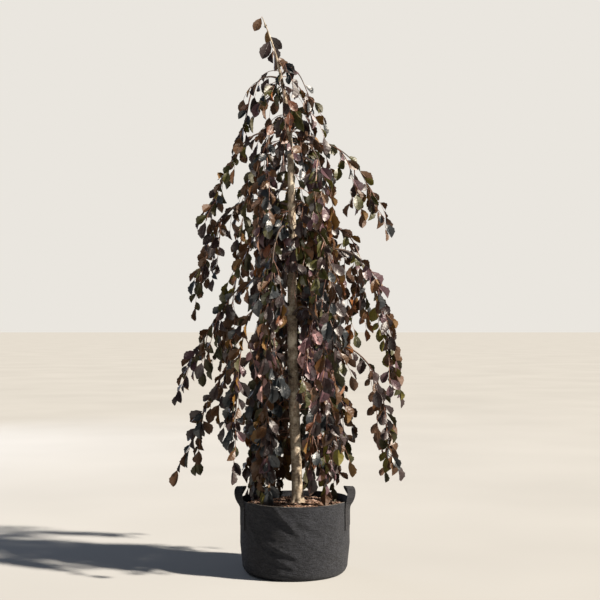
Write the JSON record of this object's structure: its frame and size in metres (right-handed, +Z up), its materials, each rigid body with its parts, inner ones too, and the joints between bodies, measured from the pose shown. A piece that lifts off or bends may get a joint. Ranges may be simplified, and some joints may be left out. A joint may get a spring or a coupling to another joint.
{
  "type": "weeping copper beech tree in a fabric grow bag",
  "caption": "Young weeping purple-leaved beech: one upright trunk with a nodding tip, arching boughs and hanging leaf sprays, in a round felt grow bag with two strap handles.",
  "frame": {"origin": "centre of the grow bag's flat underside", "axes": "+Z up along the trunk, -Y the tree's front, +X its right-hand side seen from the front"},
  "size_m": [0.9688, 0.8903, 2.2935],
  "materials": {
    "felt": "matt needled felt",
    "compost": "loose crumbs of bark and compost",
    "bark": "smooth grey bark with pale patches",
    "young_bark": "smooth young bark",
    "copper_leaf": "satin leaf"
  },
  "bodies": {
    "root": {"grow_bag": "felt", "compost": "compost", "handle_left": "felt", "handle_right": "felt", "trunk": "bark", "foliage_leader": "copper_leaf", "bough_upper_left": "young_bark", "foliage_upper_left": "copper_leaf", "bough_upper_right": "young_bark", "foliage_upper_right": "copper_leaf", "bough_upper_front_left": "young_bark", "foliage_upper_front_left": "copper_leaf", "bough_upper_back_right": "young_bark", "foliage_upper_back_right": "copper_leaf", "bough_upper_front_right": "young_bark", "foliage_upper_front_right": "copper_leaf", "bough_upper_back_left": "young_bark", "foliage_upper_back_left": "copper_leaf", "bough_middle_left": "young_bark", "foliage_middle_left": "copper_leaf", "bough_middle_back": "young_bark", "foliage_middle_back": "copper_leaf", "bough_middle_front_left": "young_bark", "foliage_middle_front_left": "copper_leaf", "bough_middle_right": "young_bark", "foliage_middle_right": "copper_leaf", "bough_middle_front_right": "young_bark", "foliage_middle_front_right": "copper_leaf", "bough_middle_back_right": "young_bark", "foliage_middle_back_right": "copper_leaf", "bough_middle_back_left": "young_bark", "foliage_middle_back_left": "copper_leaf", "bough_lower_left": "young_bark", "foliage_lower_left": "copper_leaf", "bough_lower_front_left": "young_bark", "foliage_lower_front_left": "copper_leaf", "bough_lower_front_right": "young_bark", "foliage_lower_front_right": "copper_leaf", "bough_lower_back": "young_bark", "foliage_lower_back": "copper_leaf", "bough_foot_left": "young_bark", "foliage_foot_left": "copper_leaf", "bough_foot_right": "young_bark", "foliage_foot_right": "copper_leaf", "bough_foot_back_right": "young_bark", "foliage_foot_back_right": "copper_leaf", "bough_foot_back_left": "young_bark", "foliage_foot_back_left": "copper_leaf", "bough_foot_front_left": "young_bark", "foliage_foot_front_left": "copper_leaf", "bough_foot_front_right": "young_bark", "foliage_foot_front_right": "copper_leaf", "foliage_crown_left": "copper_leaf", "foliage_crown_right": "copper_leaf", "foliage_crown_front": "copper_leaf", "foliage_crown_back": "copper_leaf", "foliage_inner_upper_left": "copper_leaf", "foliage_inner_upper_right": "copper_leaf", "foliage_inner_lower_left": "copper_leaf", "foliage_inner_lower_right": "copper_leaf"}
  },
  "joints": []
}
